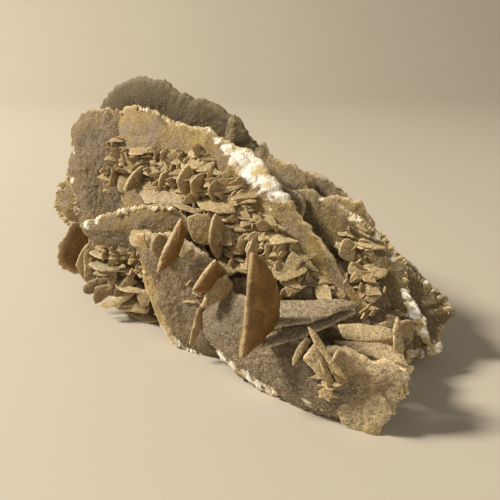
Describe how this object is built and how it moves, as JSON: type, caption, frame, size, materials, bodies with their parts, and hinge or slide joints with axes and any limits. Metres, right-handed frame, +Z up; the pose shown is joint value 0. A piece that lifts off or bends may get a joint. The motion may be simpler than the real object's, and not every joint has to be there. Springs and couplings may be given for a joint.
{
  "type": "gypsum sand rose",
  "caption": "Cluster of intergrown lens-shaped gypsum plates crusted with sand, with small leaf crystals between the plates, resting on its worn lower rims.",
  "frame": {"origin": "middle of the bounding box's base, on the surface that the stone rests on", "axes": "+X along the stone's length, from its tall end towards its low end; +Z up; the side with the leaf crystals faces -Y"},
  "size_m": [0.2106, 0.1148, 0.1053],
  "materials": {
    "sand_rose": "sandy, matt, with worn pale rims"
  },
  "bodies": {
    "root": {"sand_rose": "sand_rose"}
  },
  "joints": []
}
